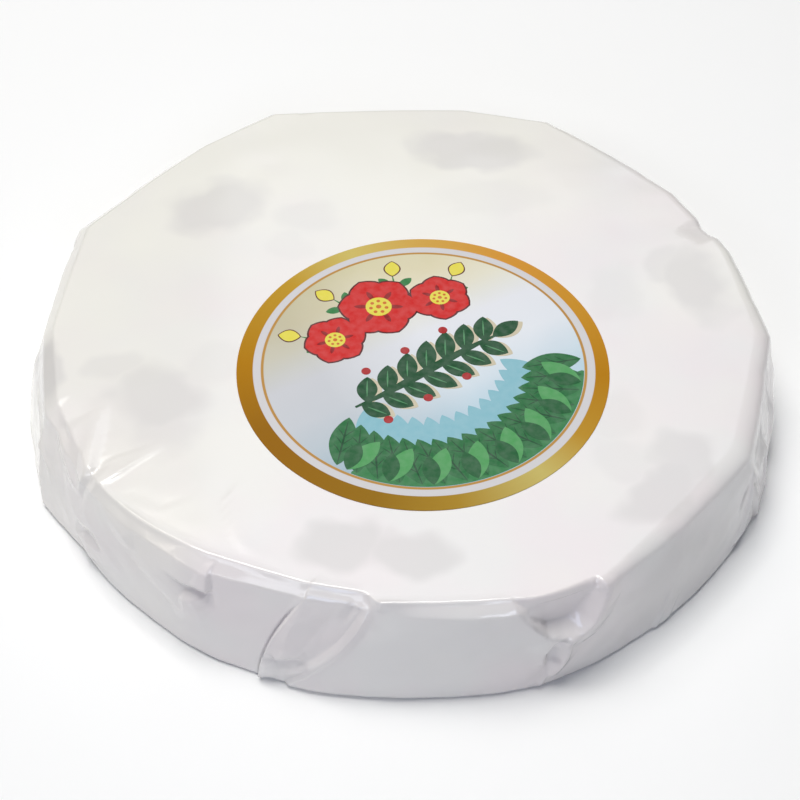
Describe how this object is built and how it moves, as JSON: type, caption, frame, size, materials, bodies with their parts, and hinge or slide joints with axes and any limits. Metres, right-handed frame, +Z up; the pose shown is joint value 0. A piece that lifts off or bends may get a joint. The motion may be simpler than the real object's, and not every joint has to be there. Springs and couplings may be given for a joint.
{
  "type": "wrapped brie wheel",
  "caption": "Whole soft cheese wheel shut in taut white paper, its corners folded down the side, with a round printed label on top.",
  "frame": {"origin": "middle of the flat underside, below the middle of the whole outline", "axes": "+Z up, out of the labelled top; -Y towards the side that the label sits nearer to"},
  "size_m": [0.2146, 0.2082, 0.0311],
  "materials": {
    "coated_paper": "glossy white cheese paper, pulled tight and creased",
    "printed_label": "gloss label, printed with a gold ring round a garden scene"
  },
  "bodies": {
    "root": {"wrapped_wheel": "coated_paper", "label": "printed_label"}
  },
  "joints": []
}
